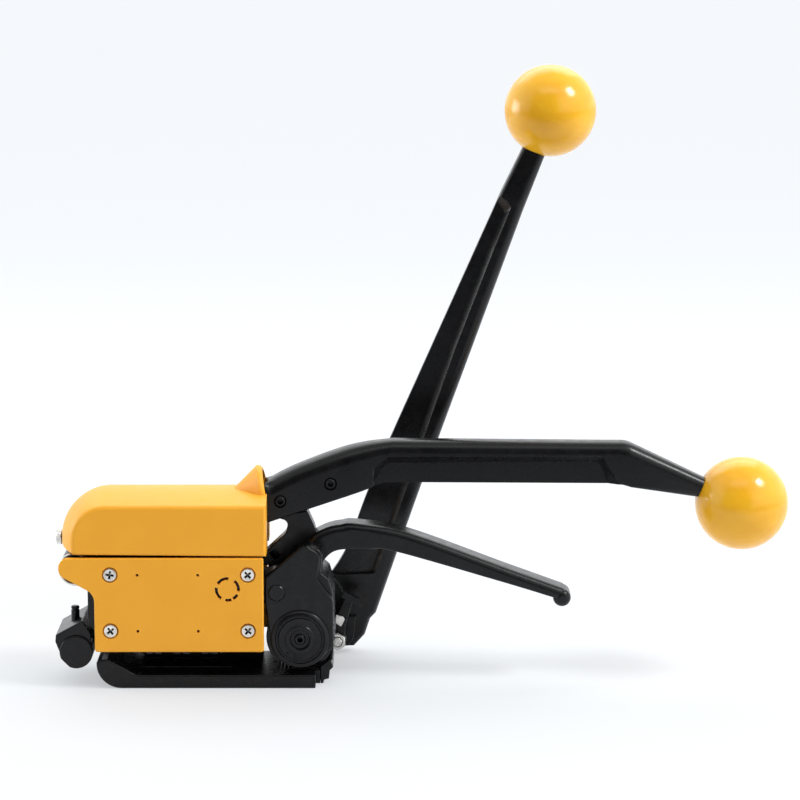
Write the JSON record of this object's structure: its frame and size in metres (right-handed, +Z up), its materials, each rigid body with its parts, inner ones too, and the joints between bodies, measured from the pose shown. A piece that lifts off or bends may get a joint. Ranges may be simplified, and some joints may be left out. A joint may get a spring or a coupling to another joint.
{
  "type": "manual steel strap sealing tool",
  "caption": "Hand-operated sealless steel strapping tool: ratchet tension lever, punching lever under a crowned hood, release handle and a flat skid base.",
  "frame": {"origin": "underside of the base plate, below the feed wheel's axis, in the middle of the strap's width", "axes": "+X along the strap towards the long sealing lever's knob, +Y across the tool towards the closed far wall, +Z up from the base"},
  "size_m": [0.3668, 0.1033, 0.3047],
  "materials": {
    "amber_paint": "satin amber powder coat",
    "amber_ball": "high gloss moulded ball",
    "black_casting": "satin black coated casting",
    "black_steel": "black oxide",
    "tool_steel": "hardened and ground",
    "bright_steel": "bright nickel plate",
    "bronze": "machined bronze"
  },
  "bodies": {
    "frame": {"base_plate": "black_casting", "gripper_plate": "tool_steel", "lower_die": "tool_steel", "rear_strap_guide": "black_casting", "frame_casting": "black_casting", "near_side_plate": "black_steel", "near_side_cover": "amber_paint", "far_side_cover": "amber_paint", "near_cover_screw_1": "bright_steel", "near_cover_screw_2": "bright_steel", "near_cover_screw_3": "bright_steel", "near_cover_screw_4": "bright_steel", "far_cover_screw_1": "bright_steel", "far_cover_screw_2": "bright_steel", "far_cover_screw_3": "bright_steel", "far_cover_screw_4": "bright_steel", "base_screw_1": "black_steel", "base_screw_2": "black_steel", "rocker_pin": "black_steel", "gate_pin": "black_steel", "lever_return_spring": "bright_steel", "rocker_return_spring": "bright_steel", "gate_spring": "bright_steel"},
    "sealing_lever": {"sealing_lever": "black_casting", "sealing_arm": "black_steel", "eccentric_shaft": "tool_steel", "lever_pin_1": "black_steel", "lever_pin_2": "black_steel", "hood": "amber_paint", "hood_bolt": "bright_steel", "sealing_knob": "amber_ball", "sealing_knob_stud": "bright_steel"},
    "punch_carriage": {"punch_carriage": "tool_steel", "punch_1": "tool_steel", "punch_2": "tool_steel", "punch_3": "tool_steel", "cutter_blade": "tool_steel"},
    "rocker": {"rocker_casting": "black_casting", "bearing_cap": "black_casting", "near_bushing": "bronze", "far_bushing": "bronze", "hold_pawl_pin": "black_steel"},
    "feed_wheel": {"feed_wheel": "tool_steel", "ratchet_wheel": "tool_steel", "ratchet_spacer": "black_steel", "wheel_shaft": "black_steel", "shaft_nut": "bright_steel"},
    "tension_lever": {"tension_lever": "black_casting", "tension_knob": "amber_ball", "tension_knob_stud": "bright_steel", "pawl_pin": "bright_steel", "pawl_nut": "bright_steel"},
    "drive_pawl": {"drive_pawl": "black_casting", "pawl_spring_tab": "bright_steel"},
    "hold_pawl": {"hold_pawl": "tool_steel"},
    "strap_gate": {"strap_gate": "black_casting", "gate_finger_pin": "black_steel"}
  },
  "joints": [
    {"name": "sealing_lever_hinge", "type": "hinge", "parent": "frame", "child": "sealing_lever", "pos_m": [-0.112, 0, 0.0594], "axis": [0, -1, 0], "range_deg": [0, 90]},
    {"name": "punch_slide", "type": "slide", "parent": "frame", "child": "punch_carriage", "axis": [0, 0, -1], "range_m": [0, 0.0046]},
    {"name": "rocker_hinge", "type": "hinge", "parent": "frame", "child": "rocker", "pos_m": [-0.0115, 0, 0.0485], "axis": [0, -1, 0], "range_deg": [0, 10]},
    {"name": "feed_wheel_spin", "type": "hinge", "parent": "rocker", "child": "feed_wheel", "pos_m": [0, 0, 0.0252], "axis": [0, -1, 0], "continuous": true},
    {"name": "tension_lever_hinge", "type": "hinge", "parent": "rocker", "child": "tension_lever", "pos_m": [0, 0, 0.0252], "axis": [0, -1, 0], "range_deg": [0, 75]},
    {"name": "drive_pawl_hinge", "type": "hinge", "parent": "tension_lever", "child": "drive_pawl", "pos_m": [0.0175, 0, 0.0112], "axis": [0, 1, 0], "range_deg": [0, 18]},
    {"name": "hold_pawl_hinge", "type": "hinge", "parent": "rocker", "child": "hold_pawl", "pos_m": [-0.013, 0, 0.041], "axis": [0, 1, 0], "range_deg": [0, 15]},
    {"name": "strap_gate_hinge", "type": "hinge", "parent": "frame", "child": "strap_gate", "pos_m": [-0.1118, 0, 0.0176], "axis": [0, -1, 0], "range_deg": [0, 20]}
  ],
  "couplings": [
    {"joint": "punch_slide", "follows": "sealing_lever_hinge", "m_per_rad": 0.00288}
  ]
}
